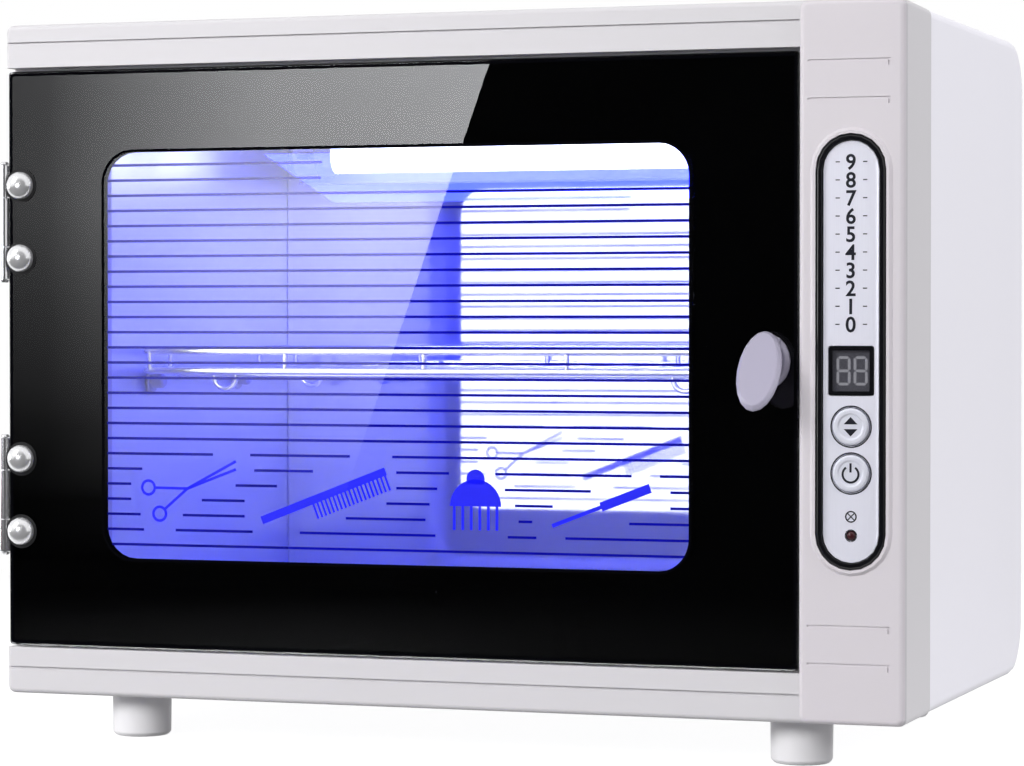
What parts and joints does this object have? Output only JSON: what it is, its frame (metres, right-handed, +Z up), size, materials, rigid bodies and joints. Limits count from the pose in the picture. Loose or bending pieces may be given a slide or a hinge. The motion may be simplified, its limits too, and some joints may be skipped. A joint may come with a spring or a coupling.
{
  "type": "uv sterilizer cabinet",
  "caption": "Tabletop UV sterilizer cabinet with hinged glass door, mirror-lined chamber, wire rack, UV lamp and control column with display and push buttons.",
  "frame": {"origin": "bottom centre of the box round the part, on the surface that the feet stand on", "axes": "+Z up, +Y from the front to the rear, +X to the right as seen from the front"},
  "size_m": [0.3744, 0.2538, 0.2865],
  "materials": {
    "white_plastic": "satin moulded",
    "shell_plastic": "satin moulded",
    "handle_plastic": "satin moulded",
    "white_enamel": "powder coat",
    "dark_plastic": "matt moulded",
    "black_plastic": "gloss moulded",
    "circuit_board": "solder mask",
    "smoked_lens": "smoked, polished",
    "light_lens": "clear moulded",
    "panel_silver": "fine satin",
    "button_silver": "metallic paint",
    "zinc": "zinc plated",
    "mirror_steel": "mirror polished",
    "rack_wire": "bright plated",
    "chrome": "bright plated",
    "cap_aluminium": "satin",
    "lamp_glass": "quartz, lit blue",
    "door_glass": "toughened, polished",
    "black_print": "fired enamel border"
  },
  "bodies": {
    "cabinet": {"front_frame": "white_plastic", "case_shell": "shell_plastic", "rear_cover": "white_enamel", "catch_magnet": "dark_plastic", "ballast": "white_enamel", "cable_bush": "dark_plastic", "rear_screw_1": "zinc", "rear_screw_2": "zinc", "rear_screw_3": "zinc", "rear_screw_4": "zinc", "front_left_foot": "white_plastic", "front_right_foot": "white_plastic", "rear_left_foot": "white_plastic", "rear_right_foot": "white_plastic", "front_left_foot_screw": "zinc", "front_right_foot_screw": "zinc", "rear_left_foot_screw": "zinc", "rear_right_foot_screw": "zinc", "column_fascia": "white_plastic", "panel_surround": "black_plastic", "panel_plate": "panel_silver", "display_lens": "smoked_lens", "display_module": "dark_plastic", "control_board": "circuit_board", "select_switch": "dark_plastic", "power_switch": "dark_plastic", "power_light": "light_lens", "liner_wrap": "mirror_steel", "liner_left_wall": "mirror_steel", "liner_right_wall": "mirror_steel", "lamp_bracket": "white_enamel", "lamp_tube": "lamp_glass", "lamp_left_cap": "cap_aluminium", "lamp_right_cap": "cap_aluminium", "lamp_left_socket": "white_plastic", "lamp_right_socket": "white_plastic", "front_left_rack_support": "white_plastic", "rear_left_rack_support": "white_plastic", "front_right_rack_support": "white_plastic", "rear_right_rack_support": "white_plastic", "upper_hinge_fixed_leaf": "chrome", "upper_hinge_pin": "chrome", "lower_hinge_fixed_leaf": "chrome", "lower_hinge_pin": "chrome"},
    "door": {"door_glass": "door_glass", "door_print": "black_print", "handle": "handle_plastic", "handle_screw": "zinc", "strike_plate": "zinc", "upper_hinge_moving_leaf": "chrome", "upper_hinge_top_screw": "chrome", "upper_hinge_bottom_screw": "chrome", "lower_hinge_moving_leaf": "chrome", "lower_hinge_top_screw": "chrome", "lower_hinge_bottom_screw": "chrome"},
    "select_button": {"select_button": "button_silver"},
    "power_button": {"power_button": "button_silver"},
    "rack": {"rack": "rack_wire"}
  },
  "joints": [
    {"name": "door_hinge", "type": "hinge", "parent": "cabinet", "child": "door", "pos_m": [-0.18495, -0.10308, 0.1523], "axis": [0, 0, -1], "range_deg": [0, 180]},
    {"name": "select_press", "type": "slide", "parent": "cabinet", "child": "select_button", "axis": [0, 1, 0], "range_m": [0, 0.0008], "stiffness_N_per_m": 800},
    {"name": "power_press", "type": "slide", "parent": "cabinet", "child": "power_button", "axis": [0, 1, 0], "range_m": [0, 0.0008], "stiffness_N_per_m": 800},
    {"name": "rack_slide", "type": "slide", "parent": "cabinet", "child": "rack", "axis": [0, -1, 0], "range_m": [0, 0.03]}
  ]
}
